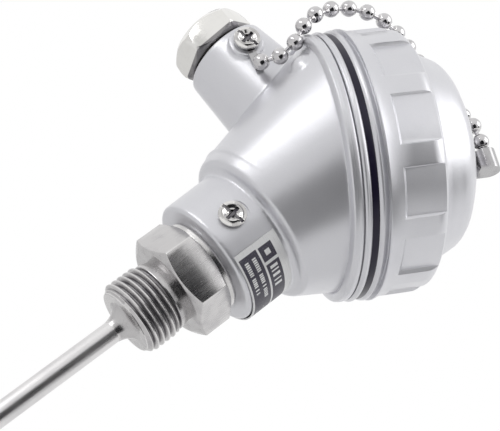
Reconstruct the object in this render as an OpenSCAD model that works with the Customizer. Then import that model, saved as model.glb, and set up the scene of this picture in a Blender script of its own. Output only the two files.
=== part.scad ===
// Thermocouple probe with a threaded fitting and an inclined connection head.
// Origin: centre of the hexagon's sealing face. The tip points down, the head is up.
// The cable entry looks along -X, and the cap leans from +Z towards +X.

/* [Sheath] */
// Outer radius of the metal sheath
sheath_r = 3; // [2.5:0.25:3.5]
// Wall of the metal sheath
sheath_wall = 0.5; // [0.35:0.05:0.7]
// Length of the sheath below the sealing face
insertion_len = 164; // [120:5:400]
// Radius of one thermocouple wire
wire_r = 0.4; // [0.3:0.05:0.45]
// Distance of each wire from the sheath's axis
wire_offset = 1.1; // [1:0.05:1.2]
// Radius of the welded hot junction
junction_r = 1.2; // [1.1:0.1:1.4]

/* [Process fitting] */
// Major radius of the pipe thread
thread_r = 10.4775; // [9.5:0.1:11]
// Length of the thread from the front face to the undercut
thread_len = 11.2; // [9:0.5:16]
// Chamfer at the start of the thread
thread_chamfer = 1.5; // [0.8:0.1:2]
// Width of the undercut behind the thread
undercut_len = 2.8; // [2:0.2:4]
// Radius of the undercut
undercut_r = 9.2; // [8.8:0.1:9.4]
// Width of the hexagon across its flats
hex_af = 27; // [26:0.5:30]
// Length of the hexagon
hex_len = 11; // [8:0.5:14]
// Turn of the hexagon, from a corner that points away from the cable entry
hex_turn = 18; // [0:1:59]
// Radius of the collar between the hexagon and the head
collar_r = 12.6; // [12:0.1:13]
// Length of that collar
collar_len = 1; // [0.6:0.1:2]
// Radius of the spigot inside the head
spigot_r = 9; // [8.5:0.1:9.5]
// Length of the spigot inside the head
spigot_len = 17; // [14:0.5:20]
// Radius of the brazed boss round the sheath at the front face
front_boss_r = 4.9; // [4.4:0.1:5.5]
// Length of that boss
front_boss_len = 4.2; // [3:0.2:6]

/* [Head] */
// Radius of the neck
neck_r = 18.7; // [18:0.1:19.5]
// Length of the neck up to the hub's step
neck_len = 16.8; // [15:0.2:20]
// Radius of the hub above the step
hub_r = 22.6; // [22:0.1:24]
// Rounding under the hub
hub_round = 2; // [1:0.1:3]
// Height of the pivot point where the neck's and the cap's axes meet
pivot_z = 61.5; // [60:0.5:63]
// Lean of the cap's axis from the probe's axis
lean = 30; // [28:1:31]
// Step from the cap's radius in to the head's flange
flange_step = 0.2; // [0:0.1:0.6]
// Thickness of the flange
flange_t = 4.2; // [3.6:0.1:4.6]
// Overhang of the flange past the bowl
flange_lip = 2.6; // [2.2:0.1:3]
// Height of the mouth above the flange
mouth_len = 11.5; // [11:0.5:12]
// Wall of the mouth round the wiring chamber
mouth_wall = 6.1; // [5.6:0.1:7]
// Depth of the chamber's wide part below the flange's face
chamber_depth = 8; // [6:0.5:9]
// Radius of the well below the chamber
well_r = 15.5; // [14:0.1:16.5]
// Floor left between the neck's bore and the well
well_floor = 3; // [2.4:0.2:4]

/* [Cable entry] */
// Distance from the probe's axis to the end of the entry boss
entry_reach = 48; // [46:0.5:52]
// Radius of the entry boss at its end
entry_r = 13.3; // [13:0.1:13.8]
// Radius of the entry boss at its root
entry_root_r = 14.8; // [14.4:0.1:15.2]
// Radius of the entry's thread
entry_bore_r = 10; // [9.8:0.1:10.2]
// Depth of the entry's thread
entry_bore_len = 21; // [20:0.5:22]
// Radius of the hole for the cable
cable_r = 4.25; // [3.5:0.25:5]
// Width of the gland screw's hexagon across its flats
gland_af = 22; // [21:0.5:24]
// Length of the gland screw's hexagon
gland_head_len = 8; // [6:0.5:10]
// Turn of the gland screw's hexagon, from a corner that points up
gland_hex_turn = 45; // [0:1:59]
// Gap that shows between the hexagon and the boss
gland_gap = 1.6; // [1:0.1:2.4]

/* [Cap] */
// Radius of the cap's skirt
cap_r = 37.6; // [37.4:0.1:38.2]
// Height of the skirt up to the step
skirt_len = 20; // [19.5:0.5:21]
// Height of the cap at its centre
cap_len = 36.8; // [36:0.2:38]
// Wall of the skirt outside the thread
skirt_wall = 5; // [4.6:0.1:5.4]
// Shoulder from the skirt in to the dome
shoulder_w = 6.2; // [5.6:0.1:7]
// Number of grip pockets round the skirt
pocket_count = 12; // [8:1:12]
// Depth of the grip pockets
pocket_depth = 1; // [0.6:0.1:1.4]
// Angle that each grip pocket spans
pocket_angle = 21; // [14:1:22]

/* [Chain] */
// Radius of a chain bead
bead_r = 2.35; // [2.2:0.05:2.5]
// Radius of the links between the beads
link_r = 0.65; // [0.5:0.05:0.8]
// Distance from bead to bead along the chain
bead_pitch = 5.9; // [5.6:0.1:6.6]

/* [Screws] */
// Head radius of the pan-head screws
pan_r = 3.5; // [3.2:0.1:3.8]
// Height of those heads
pan_h = 2.3; // [2:0.1:2.6]
// Shank radius of those screws
pan_shank_r = 1.9; // [1.6:0.1:2.1]

/* [Hidden] */
$fn = 96;

// Cuts run past the faces that they open by this much
overrun = 0.5;
// Play between pieces of one body
play = 0.05;
// Play between pieces that turn or slide on each other
run_play = 0.3;

// Heights along the probe's axis
thread_top_z = -undercut_len;
front_z = thread_top_z - thread_len;
neck_z = hex_len + collar_len;
step_z = neck_z + neck_len;
spigot_top_z = neck_z + spigot_len;
bore_top_z = spigot_top_z + play;
well_z = bore_top_z + well_floor;

// Hexagon ends are turned down by this share of the flats' width and by this angle
hex_chamfer_angle = 30;
hex_face_share = 0.475;

// Radii round the cap's axis: cap and flange are flush, and the mouth sits inside the skirt
flange_r = cap_r - flange_step;
bowl_r = flange_r - flange_lip;
mouth_r = cap_r - skirt_wall;
chamber_r = mouth_r - mouth_wall;
dome_r = cap_r - shoulder_w;
gasket_recess = 0.6;
gasket_width = skirt_wall - gasket_recess;

// Stations along the cap's axis, measured from the pivot point
gasket_t = 2.5;
flange_s = -0.6 * gasket_t;
cap_s = flange_s + gasket_t + play;
mouth_s = flange_s + mouth_len;
flange_bead_share = 0.36;

// Turn of the first grip pocket from the lean's plane
pocket_phase = 13;

// Terminal block and its screws
block_r = 19;
block_t = 9;
block_s = flange_s - chamber_depth;
block_top_s = block_s + block_t;
block_hole_r = 6.6;
block_gap = 2.2;
block_screw_pitch_r = 16;
block_screw_r = 1.9;
terminal_w = 7;
terminal_d = 7.6;
terminal_h = 6.5;
terminal_y = 10.4;
terminal_screw_r = 1.4;
terminal_head_r = 2.6;
terminal_head_h = 2;
terminal_wire_share = 0.42;

// Wire path above the sheath
sleeve_wall = 0.35;
sleeve_r = wire_r + play + sleeve_wall;
resin_len = 5;
sheath_top_z = spigot_top_z - resin_len;
wire_bend_s = 2 * wire_r;
wire_level_s = block_top_s + terminal_h * terminal_wire_share;

// Gland parts inside the entry
seal_r = entry_bore_r - play;
gland_seal_len = 7;
washer_t = 1.5;
gland_stem_r = entry_bore_r - run_play;
gland_hole_r = 6.2;
entry_throat_r = 7.5;
entry_floor_x = entry_reach - entry_bore_len;
washer_x = entry_floor_x + gland_seal_len + play;
stem_x = washer_x + washer_t + play;
gland_x = entry_reach + gland_gap;
gland_end_x = gland_x + gland_head_len;

// Chain screw on the entry boss
entry_screw_inset = 7.2;
entry_screw_rise = 0.5;
entry_screw_x = entry_reach - entry_screw_inset;
entry_screw_z = pivot_z + entry_screw_rise;
spot_r = 5;
spot_y = entry_root_r - 2 * play;
eyelet_t = 0.6;
eyelet_r = pan_r * 0.94;
entry_screw_len = spot_y - entry_bore_r - run_play;

// Set screw in the neck
set_screw_z = neck_z + 0.515 * neck_len;
neck_round = 1.6;
set_spot_r = 4.6;
set_spot_depth = 0.55;
set_spot_y = neck_r - set_spot_depth;

// Clip and screw at the centre of the cap
clip_t = 0.6;
cup_r = 3.15;
cup_len = 6.3;
cup_wall = 0.35;
cup_side = -5.9;
cup_start = 4.6;
last_bead_along = cup_start + cup_len * 0.44;
cap_top_s = cap_s + cap_len;
clip_s = cap_top_s + play;
cup_s = clip_s + clip_t / 2 + cup_r;
cap_screw_len = 6;

// Label
label_t = 0.12;
label_inset = 0.1;
label_z = neck_z + neck_round + label_inset;
label_h = neck_len - 2 * neck_round - 2 * label_inset;
label_from = -62;
label_to = 78;

// Start of the chain at its eyelet: steps from the screw along the cap's axes, in bead pitches
chain_start_shares = [[1.576, -0.44, -0.107], [1.93, -1.02, 0.87], [1.46, -1.34, 1.8]];

// Rest of the chain's route to its cup: height along the cap's axis (up to 1 in skirts, and above
// that in domes), angle round that axis, and distance from it as a share of the cap's radius
chain_route_shares = [
    [-0.195, -146, 1.112], [0.065, -149.6, 1.17], [0.35, -152, 1.186], [0.645, -153.8, 1.165],
    [0.92, -155, 1.106], [1.167, -157.5, 1.021], [1.405, -162.5, 0.92], [1.655, -170, 0.803],
    [1.839, -176.5, 0.689], [1.97, -179.5, 0.556], [2.077, -178, 0.418], [2.167, -163, 0.293],
    [2.232, -132, 0.218], [2.262, -90, 0.186]
];

// Children stand on the cap's leaning axis, at a height above the pivot point
module on_cap_axis(s) {
    translate([0, 0, pivot_z]) rotate([0, lean, 0]) translate([0, 0, s]) children();
}

// Children drawn along +Z come out along the cable entry, -X
module on_entry_axis(x) {
    translate([-x, 0, pivot_z]) rotate([0, -90, 0]) children();
}

// Children drawn along +Z come out along -Y at a given place
module towards_front(x, y, z) {
    translate([x, -y, z]) rotate([90, 0, 0]) children();
}

function to_part(v) =
    [v[0] * cos(lean) + v[2] * sin(lean), v[1], pivot_z - v[0] * sin(lean) + v[2] * cos(lean)];

// Tube of eight sides swept along a list of points
function unit(v) = v / norm(v);
function path_dir(pts, i) = unit(pts[min(i + 1, len(pts) - 1)] - pts[max(i - 1, 0)]);
function path_side(d) = unit(cross(d, abs(d[0]) < 0.8 ? [1, 0, 0] : [0, 1, 0]));
function path_ring(p, d, r, sides) =
    let (u = path_side(d), v = cross(d, u))
    [for (k = [0:sides - 1]) p + r * (cos(360 * k / sides) * u + sin(360 * k / sides) * v)];
module swept_wire(pts, r, sides = 8) {
    rings = [for (i = [0:len(pts) - 1]) path_ring(pts[i], path_dir(pts, i), r, sides)];
    points = [for (ring = rings) for (p = ring) p];
    n = len(pts);
    walls = [for (i = [0:n - 2]) for (k = [0:sides - 1])
        let (a = i * sides + k, b = i * sides + (k + 1) % sides)
        each [[a, a + sides, b + sides], [a, b + sides, b]]];
    ends = [[for (k = [0:sides - 1]) k], [for (k = [sides - 1:-1:0]) (n - 1) * sides + k]];
    polyhedron(points, concat(walls, ends), convexity = 6);
}

// Hexagonal bar with both ends turned down
module turned_hexagon(af, length, turn) {
    face_r = af * hex_face_share;
    corner_r = af / 2 / cos(30);
    drop = (corner_r - face_r) * tan(hex_chamfer_angle);
    rotate([0, 0, turn]) intersection() {
        cylinder(r = corner_r, h = length, $fn = 6);
        rotate_extrude() polygon([
            [0, 0], [face_r, 0], [corner_r, drop], [corner_r, length - drop], [face_r, length], [0, length]
        ]);
    }
}

// Pan head with a slot and a cross, seated at z = 0, with its shank below
module pan_screw(shank_len) {
    slot_w = pan_r * 0.26;
    slot_d = pan_h * 0.45;
    difference() {
        rotate_extrude() polygon([
            [0, -shank_len], [pan_shank_r, -shank_len], [pan_shank_r, 0], [pan_r, 0], [pan_r, pan_h * 0.4],
            [pan_r * 0.9, pan_h * 0.72], [pan_r * 0.6, pan_h * 0.95], [0, pan_h]
        ]);
        translate([-pan_r, -slot_w / 2, pan_h - slot_d]) cube([2 * pan_r, slot_w, slot_d + overrun]);
        translate([-slot_w / 2, -pan_r * 0.6, pan_h - slot_d]) cube([slot_w, pan_r * 1.2, slot_d + overrun]);
    }
}

module sheath_tube() {
    color([0.78, 0.78, 0.79]) rotate_extrude() polygon([
        [0, -insertion_len], [sheath_r * 0.7, -insertion_len], [sheath_r, -insertion_len + sheath_r * 0.3],
        [sheath_r, sheath_top_z], [sheath_r - sheath_wall, sheath_top_z],
        [sheath_r - sheath_wall, -insertion_len + 2 * sheath_wall], [0, -insertion_len + 2 * sheath_wall]
    ]);
}

// Powder core from above the junction to the top of the sheath, with a hole for each wire
junction_z = -insertion_len + 2 * sheath_wall + play + junction_r;
core_z = junction_z + junction_r + play;
module insulation_core() {
    color([0.9, 0.89, 0.86]) difference() {
        translate([0, 0, core_z]) cylinder(r = sheath_r - sheath_wall - play, h = sheath_top_z - core_z);
        for (side = [-1, 1])
            translate([0, side * wire_offset, core_z - overrun])
                cylinder(r = wire_r + play, h = sheath_top_z - core_z + 2 * overrun, $fn = 24);
    }
}

// One wire, from the junction up the sheath and out to its terminal
module thermoelement(side) {
    top = pivot_z + (block_top_s + wire_bend_s) / cos(lean);
    level = to_part([0, side * wire_offset * 2.6, wire_level_s]);
    entry = to_part([0, side * (terminal_y + terminal_d / 4), wire_level_s]);
    swept_wire([
        [0, side * wire_offset, junction_z + junction_r * 0.5], [0, side * wire_offset, core_z + wire_r],
        [0, side * wire_offset, pivot_z + block_s / cos(lean)], [0, side * wire_offset, top - wire_r],
        level, entry
    ], wire_r);
}
module thermoelement_positive() {
    color([0.62, 0.6, 0.56]) difference() {
        thermoelement(1);
        translate([0, 0, junction_z]) sphere(r = junction_r + play, $fn = 32);
    }
}
module thermoelement_negative() {
    color([0.7, 0.66, 0.58]) difference() {
        thermoelement(-1);
        translate([0, 0, junction_z]) sphere(r = junction_r + play, $fn = 32);
    }
}
module hot_junction() {
    color([0.55, 0.54, 0.52]) translate([0, 0, junction_z]) sphere(r = junction_r, $fn = 32);
}

// Resin plug over the sheath's open end, inside the fitting
module end_seal() {
    color([0.2, 0.19, 0.18]) difference() {
        translate([0, 0, sheath_top_z]) cylinder(r = sheath_r - play, h = resin_len);
        for (side = [-1, 1])
            translate([0, side * wire_offset, sheath_top_z - overrun])
                cylinder(r = wire_r + play, h = resin_len + 2 * overrun, $fn = 24);
    }
}

// Insulating sleeves between the seal and the terminal block
module wire_sleeves() {
    sleeve_top = pivot_z + block_s / cos(lean) - block_t / 4;
    color([0.86, 0.84, 0.78]) for (side = [-1, 1])
        translate([0, side * wire_offset, spigot_top_z + play]) difference() {
            cylinder(r = sleeve_r, h = sleeve_top - spigot_top_z, $fn = 24);
            translate([0, 0, -overrun])
                cylinder(r = wire_r + play, h = sleeve_top - spigot_top_z + 2 * overrun, $fn = 24);
        }
}

// Turned fitting: thread, undercut, hexagon, collar and spigot, bored for the sheath
module process_fitting() {
    bore_r = sheath_r + play;
    color([0.74, 0.73, 0.71]) difference() {
        union() {
            rotate_extrude() polygon([
                [0, front_z - front_boss_len], [bore_r + play, front_z - front_boss_len],
                [bore_r + sheath_wall, front_z - front_boss_len * 0.62],
                [front_boss_r * 0.9, front_z - front_boss_len * 0.2], [front_boss_r, front_z],
                [thread_r - thread_chamfer, front_z], [thread_r, front_z + thread_chamfer],
                [thread_r, thread_top_z], [undercut_r, thread_top_z], [undercut_r, hex_len / 4],
                [0, hex_len / 4]
            ]);
            turned_hexagon(hex_af, hex_len, hex_turn);
            translate([0, 0, hex_len / 2]) cylinder(r = collar_r, h = neck_z - hex_len / 2);
            translate([0, 0, hex_len / 2]) cylinder(r = spigot_r, h = spigot_top_z - hex_len / 2);
        }
        translate([0, 0, front_z - front_boss_len - overrun])
            cylinder(r = bore_r, h = spigot_top_z - front_z + front_boss_len + 2 * overrun);
    }
}

// Bowl of the casting: the hub's disc drawn up into the leaning flange's disc
module bowl() {
    hull() {
        translate([0, 0, step_z]) cylinder(r = hub_r - hub_round, h = hub_round, $fn = 48);
        translate([0, 0, step_z + hub_round]) cylinder(r = hub_r, h = hub_round, $fn = 48);
        on_cap_axis(flange_s - flange_t) cylinder(r = bowl_r, h = flange_t / 2, $fn = 64);
    }
}

// Flange with its bead, and the mouth that the cap screws on
module flange_and_mouth() {
    bead_in = flange_t * flange_bead_share;
    on_cap_axis(flange_s) rotate_extrude() polygon([
        [0, -flange_t], [bowl_r + flange_lip * 0.6, -flange_t],
        [flange_r, -flange_t + bead_in * 0.5], [flange_r, -flange_t + bead_in],
        [flange_r - bead_in * 0.4, -flange_t + bead_in * 1.3],
        [flange_r, -bead_in * 0.7], [flange_r, -bead_in * 0.3], [flange_r - bead_in * 0.3, 0],
        [mouth_r, 0], [mouth_r, mouth_len - overrun], [mouth_r - overrun, mouth_len], [0, mouth_len]
    ]);
}

module entry_boss() {
    round_r = 1.4;
    on_entry_axis(0) rotate_extrude() polygon([
        [0, 0], [entry_root_r + 0.5 * round_r, 0], [entry_root_r, entry_floor_x],
        [entry_r, entry_reach - round_r],
        [entry_r - 0.3 * round_r, entry_reach - 0.3 * round_r], [entry_r - round_r, entry_reach],
        [0, entry_reach]
    ]);
}

module neck() {
    rotate_extrude() polygon([
        [0, neck_z], [neck_r - neck_round, neck_z], [neck_r - 0.3 * neck_round, neck_z + 0.3 * neck_round],
        [neck_r, neck_z + neck_round], [neck_r, step_z - neck_round],
        [neck_r + neck_round, step_z + hub_round], [0, step_z + hub_round]
    ]);
}

// Posts on the chamber's floor that carry the terminal block
module block_posts() {
    post_r = 3.6;
    for (side = [-1, 1])
        on_cap_axis(block_s - play) translate([0, side * block_screw_pitch_r, 0]) mirror([0, 0, 1])
            cylinder(r = post_r, h = chamber_depth);
}

module head_body() {
    chamber_floor = block_s - block_gap;
    color([0.8, 0.8, 0.82]) difference() {
        union() {
            neck();
            bowl();
            flange_and_mouth();
            difference() {
                entry_boss();
                on_cap_axis(flange_s) cylinder(r = cap_r * 2, h = cap_r);
            }
            towards_front(-entry_screw_x, 0, entry_screw_z) cylinder(r = spot_r, h = spot_y);
        }
        // Bore for the fitting's spigot, and the well above it
        translate([0, 0, neck_z - overrun]) cylinder(r = spigot_r + play, h = bore_top_z - neck_z + overrun);
        cylinder(r = sheath_r + sleeve_r, h = pivot_z);
        // Chamber, open under the cap, with the well below it left clear of the block's posts
        on_cap_axis(chamber_floor) cylinder(r = chamber_r, h = mouth_s - chamber_floor + overrun);
        difference() {
            translate([0, 0, well_z]) cylinder(r = well_r, h = pivot_z - well_z);
            block_posts();
        }
        // Cable entry: threaded bore for the gland, then the throat into the chamber
        on_entry_axis(entry_floor_x) cylinder(r = entry_bore_r, h = entry_bore_len + overrun);
        on_entry_axis(0) cylinder(r = entry_throat_r, h = entry_reach);
        // Screw holes and the set screw's spot face
        towards_front(0, 0, set_screw_z) cylinder(r = pan_shank_r + play, h = neck_r + overrun, $fn = 48);
        towards_front(0, set_spot_y, set_screw_z) cylinder(r = set_spot_r, h = neck_r);
        towards_front(-entry_screw_x, spot_y - entry_screw_len, entry_screw_z)
            cylinder(r = pan_shank_r + play, h = entry_screw_len + overrun, $fn = 48);
        for (side = [-1, 1])
            on_cap_axis(block_s - chamber_depth / 2) translate([0, side * block_screw_pitch_r, 0])
                cylinder(r = block_screw_r + play, h = chamber_depth, $fn = 48);
    }
}

// Screw in the neck that holds the fitting's spigot
module neck_set_screw() {
    reach = set_spot_y - spigot_r - play;
    color([0.72, 0.72, 0.72]) towards_front(0, set_spot_y + play, set_screw_z) rotate([0, 0, 8])
        pan_screw(reach);
}

module terminal_block() {
    color([0.9, 0.88, 0.82]) difference() {
        on_cap_axis(block_s) cylinder(r = block_r, h = block_t);
        on_cap_axis(block_s - overrun) cylinder(r = block_hole_r, h = block_t + 2 * overrun);
        for (side = [-1, 1])
            on_cap_axis(block_s - overrun) translate([0, side * block_screw_pitch_r, 0])
                cylinder(r = block_screw_r + play, h = block_t + 2 * overrun, $fn = 48);
    }
}

// Brass terminal with a cross hole for the wire and a tapped hole for each screw
module terminal(side) {
    screw_x = terminal_w / 4;
    difference() {
        on_cap_axis(block_top_s + play) translate([-terminal_w, side * terminal_y - terminal_d / 2, 0])
            cube([2 * terminal_w, terminal_d, terminal_h]);
        on_cap_axis(wire_level_s) translate([0, side * (terminal_y - terminal_d), 0])
            rotate([-side * 90, 0, 0]) cylinder(r = wire_r * 1.4, h = 2 * terminal_d, $fn = 24);
        for (along = [-1, 1])
            on_cap_axis(wire_level_s + wire_r * 2) translate([along * screw_x * 2, side * terminal_y, 0])
                cylinder(r = terminal_screw_r + play, h = terminal_h, $fn = 32);
    }
}
module terminal_positive() {
    color([0.78, 0.62, 0.3]) terminal(1);
}
module terminal_negative() {
    color([0.78, 0.62, 0.3]) terminal(-1);
}
module terminal_screws() {
    shank = terminal_h * (1 - terminal_wire_share) - wire_r * 2 - play;
    color([0.8, 0.78, 0.72]) for (side = [-1, 1]) for (along = [-1, 1])
        on_cap_axis(block_top_s + terminal_h + 2 * play)
            translate([along * terminal_w / 2, side * terminal_y, 0]) difference() {
                union() {
                    cylinder(r = terminal_head_r, h = terminal_head_h, $fn = 32);
                    translate([0, 0, -shank]) cylinder(r = terminal_screw_r, h = shank + play, $fn = 32);
                }
                translate([-terminal_head_r - overrun, -wire_r, terminal_head_h / 2])
                    cube([2 * terminal_head_r + 2 * overrun, 2 * wire_r, terminal_head_h]);
            }
}

// Screws that hold the terminal block to its posts, with heads outside the terminals
module block_screws() {
    head_r = block_screw_pitch_r - terminal_y - terminal_d / 2 + 1.1 * block_screw_r;
    color([0.75, 0.75, 0.76]) for (side = [-1, 1])
        on_cap_axis(block_top_s + play) translate([0, side * block_screw_pitch_r, 0]) difference() {
            union() {
                intersection() {
                    cylinder(r = head_r, h = terminal_head_h, $fn = 32);
                    translate([-head_r, side > 0 ? -block_screw_r + 2 * play : -head_r, 0])
                        cube([2 * head_r, head_r + block_screw_r - 2 * play, terminal_head_h]);
                }
                translate([0, 0, -block_t - chamber_depth / 2 + overrun])
                    cylinder(r = block_screw_r, h = block_t + chamber_depth / 2 - overrun + play, $fn = 32);
            }
            translate([-head_r - overrun, -wire_r, terminal_head_h / 2])
                cube([2 * head_r + 2 * overrun, 2 * wire_r, terminal_head_h]);
        }
}

// Rubber ring between the flange and the cap
module cap_gasket() {
    inner = mouth_r + play;
    outer = inner + gasket_width;
    bulge = gasket_t / 2;
    color([0.07, 0.06, 0.11]) on_cap_axis(flange_s) rotate_extrude() union() {
        translate([inner, 0]) square([gasket_width - bulge, gasket_t]);
        translate([outer - bulge, bulge]) circle(r = bulge, $fn = 32);
    }
}

// Screw cap: skirt with grip pockets, step, cone and dome
module cap() {
    corner = 3;
    lip = 0.8;
    thread_depth = mouth_s + run_play - cap_s;
    roof = 2.6;
    dome_shares = [
        [0.985, 0.06], [0.93, 0.27], [0.87, 0.5], [0.8, 0.62], [0.69, 0.72], [0.52, 0.83], [0.3, 0.93],
        [0.12, 0.985]
    ];
    rise = cap_len - skirt_len;
    pocket_s = skirt_len * 0.34;
    color([0.81, 0.81, 0.83]) difference() {
        on_cap_axis(cap_s) rotate_extrude() polygon(concat(
            [[0, 0], [cap_r - lip, 0], [cap_r, lip], [cap_r, skirt_len - 1.6 * corner]],
            [for (a = [15:15:75])
                [cap_r - corner + corner * cos(a), skirt_len - 1.6 * corner + 1.3 * corner * sin(a)]],
            [[dome_r + lip, skirt_len]],
            [for (q = dome_shares) [dome_r * q[0], skirt_len + rise * q[1]]],
            [[0, cap_len]]
        ));
        // Inside: the threaded part over the mouth, then the hollow of the dome
        on_cap_axis(cap_s - overrun) cylinder(r = mouth_r + run_play, h = thread_depth + overrun);
        on_cap_axis(cap_s) cylinder(r = dome_r - roof, h = skirt_len);
        on_cap_axis(cap_s + skirt_len) cylinder(r1 = dome_r - roof, r2 = dome_r * 0.52, h = rise - 2 * roof);
        // Grip pockets, open towards the dome
        for (i = [0:pocket_count - 1])
            on_cap_axis(cap_s + pocket_s) rotate([0, 0, pocket_phase + i * 360 / pocket_count])
                pocket_cut(skirt_len);
        on_cap_axis(cap_top_s - cap_screw_len)
            cylinder(r = pan_shank_r + play, h = cap_screw_len + overrun, $fn = 48);
    }
}
module pocket_cut(height) {
    outer = cap_r + overrun;
    linear_extrude(height) difference() {
        polygon([
            [0, 0], [2 * outer * cos(pocket_angle / 2), -2 * outer * sin(pocket_angle / 2)],
            [2 * outer * cos(pocket_angle / 2), 2 * outer * sin(pocket_angle / 2)]
        ]);
        circle(r = cap_r - pocket_depth);
    }
}

module gland_seal() {
    color([0.1, 0.1, 0.11]) on_entry_axis(entry_floor_x) difference() {
        cylinder(r = seal_r, h = gland_seal_len);
        translate([0, 0, -overrun]) cylinder(r = cable_r, h = gland_seal_len + 2 * overrun);
    }
}
module gland_washer() {
    color([0.76, 0.76, 0.77]) on_entry_axis(washer_x) difference() {
        cylinder(r = gland_stem_r, h = washer_t);
        translate([0, 0, -overrun]) cylinder(r = gland_hole_r - wire_r, h = washer_t + 2 * overrun);
    }
}

// Hollow screw that presses the washer on the seal
module gland_screw() {
    mouth = 1.6;
    color([0.86, 0.86, 0.85]) difference() {
        union() {
            on_entry_axis(stem_x) cylinder(r = gland_stem_r, h = gland_x - stem_x + mouth);
            on_entry_axis(gland_x) turned_hexagon(gland_af, gland_head_len, gland_hex_turn);
        }
        on_entry_axis(stem_x - overrun) cylinder(r = gland_hole_r, h = gland_end_x - stem_x + 2 * overrun);
        on_entry_axis(gland_end_x - mouth)
            cylinder(r1 = gland_hole_r, r2 = gland_hole_r + mouth + overrun, h = mouth + overrun);
    }
}

module entry_chain_screw() {
    color([0.74, 0.74, 0.74]) towards_front(-entry_screw_x, spot_y + eyelet_t + 2 * play, entry_screw_z)
        rotate([0, 0, 10]) pan_screw(entry_screw_len + eyelet_t - play);
}

// The chain's path in the part's frame, from the cup back to the eyelet, and its beads along it
function route_height(q) = q < 1 ? q * skirt_len : skirt_len + (q - 1) * (cap_len - skirt_len);
function route_point(q) =
    to_part([cap_r * q[2] * cos(q[1]), cap_r * q[2] * sin(q[1]), route_height(q[0])]);
function start_point(q) =
    [-entry_screw_x, -spot_y, entry_screw_z] + bead_pitch * (to_part(q) - to_part([0, 0, 0]));
chain_path = concat(
    [to_part([last_bead_along, cup_side, cup_s])],
    [for (i = [len(chain_route_shares) - 1:-1:0]) route_point(chain_route_shares[i])],
    [for (i = [len(chain_start_shares) - 1:-1:0]) start_point(chain_start_shares[i])]
);
function path_length(pts, i = 0) = i > len(pts) - 2 ? 0 : norm(pts[i + 1] - pts[i]) + path_length(pts, i + 1);
function along_path(pts, d, i = 0) =
    let (span = norm(pts[i + 1] - pts[i]))
    d <= span || i == len(pts) - 2
        ? pts[i] + d * unit(pts[i + 1] - pts[i])
        : along_path(pts, d - span, i + 1);
bead_count = floor(path_length(chain_path) / bead_pitch) + 1;
bead_centres = [for (i = [0:bead_count - 1]) along_path(chain_path, i * bead_pitch)];
module chain_beads() {
    color([0.66, 0.66, 0.67]) for (p = bead_centres) translate(p) sphere(r = bead_r, $fn = 32);
}
module chain_links() {
    inset = bead_r + play;
    color([0.7, 0.7, 0.7]) for (i = [0:bead_count - 2]) {
        d = bead_centres[i + 1] - bead_centres[i];
        translate(bead_centres[i]) rotate([0, acos(d[2] / norm(d)), atan2(d[1], d[0])])
            translate([0, 0, inset]) cylinder(r = link_r, h = norm(d) - 2 * inset, $fn = 24);
    }
}

// Eyelet under the entry screw, with a tongue that leads to the nearest bead
module chain_eyelet() {
    bead = bead_centres[bead_count - 1];
    run = [bead[0] + entry_screw_x, bead[2] - entry_screw_z];
    tongue_w = 2.4;
    color([0.72, 0.72, 0.73]) towards_front(-entry_screw_x, spot_y + play, entry_screw_z) difference() {
        union() {
            cylinder(r = eyelet_r, h = eyelet_t);
            rotate([0, 0, atan2(run[1], run[0])]) translate([0, -tongue_w / 2, 0])
                cube([norm(run), tongue_w, eyelet_t]);
        }
        translate([0, 0, -overrun]) cylinder(r = pan_shank_r + play, h = eyelet_t + 2 * overrun, $fn = 48);
    }
}

// Clip at the cap's centre: ring, strap, upright end and the cup that holds the last bead
module chain_clip() {
    end = cup_start + cup_len;
    strap_w = 3;
    color([0.7, 0.7, 0.71]) difference() {
        union() {
            on_cap_axis(clip_s) cylinder(r = eyelet_r, h = clip_t);
            on_cap_axis(clip_s) rotate([0, 0, atan2(cup_side, end)]) translate([0, -strap_w / 2, 0])
                cube([norm([end, cup_side]), strap_w, clip_t]);
            on_cap_axis(clip_s) translate([end - clip_t, cup_side - cup_r, 0])
                cube([clip_t, 2 * cup_r, cup_s - clip_s]);
            on_cap_axis(cup_s) translate([cup_start, cup_side, 0]) rotate([0, 90, 0])
                cylinder(r = cup_r, h = cup_len);
        }
        on_cap_axis(clip_s - overrun) cylinder(r = pan_shank_r + play, h = clip_t + 2 * overrun, $fn = 48);
        on_cap_axis(cup_s) translate([cup_start - overrun, cup_side, 0]) rotate([0, 90, 0])
            cylinder(r = cup_r - cup_wall, h = cup_len + overrun - clip_t);
    }
}
module cap_chain_screw() {
    color([0.74, 0.74, 0.74]) on_cap_axis(clip_s + clip_t + play) pan_screw(cap_screw_len);
}

// Foil label wrapped round the neck
module rating_label() {
    color([0.75, 0.75, 0.76]) translate([0, 0, label_z]) rotate([0, 0, label_from])
        rotate_extrude(angle = label_to - label_from) translate([neck_r + play, 0])
            square([label_t, label_h]);
}

sheath_tube();
insulation_core();
thermoelement_positive();
thermoelement_negative();
hot_junction();
end_seal();
wire_sleeves();
process_fitting();
head_body();
neck_set_screw();
terminal_block();
terminal_positive();
terminal_negative();
terminal_screws();
block_screws();
cap_gasket();
cap();
gland_seal();
gland_washer();
gland_screw();
entry_chain_screw();
chain_eyelet();
chain_beads();
chain_links();
chain_clip();
cap_chain_screw();
rating_label();
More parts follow.
